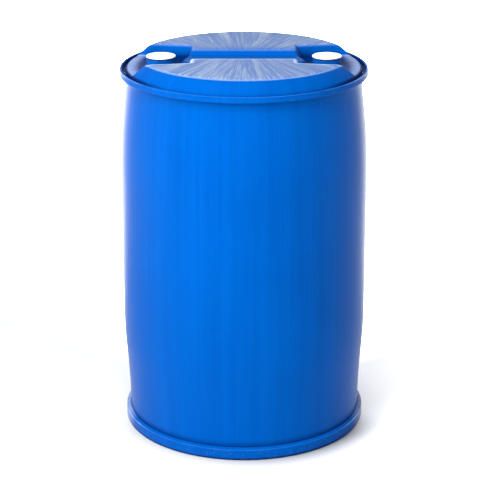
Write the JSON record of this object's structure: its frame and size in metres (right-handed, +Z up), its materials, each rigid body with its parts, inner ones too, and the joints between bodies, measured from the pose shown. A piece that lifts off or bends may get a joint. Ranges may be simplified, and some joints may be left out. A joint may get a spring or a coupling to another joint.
{
  "type": "plastic chemical drum",
  "caption": "Tight-head plastic drum for liquids, with a lifting ring under the head, a foot ring, and screw bungs sunk in pockets under flat cover discs.",
  "frame": {"origin": "centre of the drum's base, on the plane that the foot ring stands on", "axes": "+Z up along the drum's axis; the two bungs lie along X; the head's plateaus face -Y and +Y"},
  "size_m": [0.585, 0.585, 0.904],
  "materials": {
    "drum_shell": "blow-moulded blue HDPE, satin",
    "top_l_ring": "compression-moulded blue HDPE, satin",
    "bottom_ring": "compression-moulded blue HDPE, scuffed",
    "neck_left": "injection-moulded blue HDPE",
    "neck_right": "injection-moulded blue HDPE",
    "gasket_left": "black EPDM",
    "gasket_right": "black EPDM",
    "plug_left": "injection-moulded blue HDPE",
    "plug_right": "injection-moulded blue HDPE",
    "cap_left": "white LDPE, smooth satin",
    "cap_right": "white LDPE, smooth satin"
  },
  "bodies": {
    "drum": {"drum_shell": "drum_shell", "top_l_ring": "top_l_ring", "bottom_ring": "bottom_ring", "neck_left": "neck_left", "neck_right": "neck_right"},
    "left_seal": {"gasket_left": "gasket_left"},
    "left_plug": {"plug_left": "plug_left"},
    "left_cap": {"cap_left": "cap_left"},
    "right_seal": {"gasket_right": "gasket_right"},
    "right_plug": {"plug_right": "plug_right"},
    "right_cap": {"cap_right": "cap_right"}
  },
  "joints": [
    {"name": "left_rise", "type": "slide", "parent": "drum", "child": "left_seal", "axis": [0, 0, 1], "range_m": [0, 0.0221]},
    {"name": "left_turn", "type": "hinge", "parent": "left_seal", "child": "left_plug", "pos_m": [-0.1935, 0, 0.893], "axis": [0, 0, 1], "range_deg": [0, 1980]},
    {"name": "left_cap_lift", "type": "slide", "parent": "left_plug", "child": "left_cap", "axis": [0, 0, 1], "range_m": [0, 0.03]},
    {"name": "right_rise", "type": "slide", "parent": "drum", "child": "right_seal", "axis": [0, 0, 1], "range_m": [0, 0.0209]},
    {"name": "right_turn", "type": "hinge", "parent": "right_seal", "child": "right_plug", "pos_m": [0.1935, 0, 0.893], "axis": [0, 0, 1], "range_deg": [0, 3240]},
    {"name": "right_cap_lift", "type": "slide", "parent": "right_plug", "child": "right_cap", "axis": [0, 0, 1], "range_m": [0, 0.03]}
  ],
  "couplings": [
    {"joint": "left_rise", "follows": "left_turn", "m_per_rad": 0.00063662},
    {"joint": "right_rise", "follows": "right_turn", "m_per_rad": 0.00036749}
  ]
}
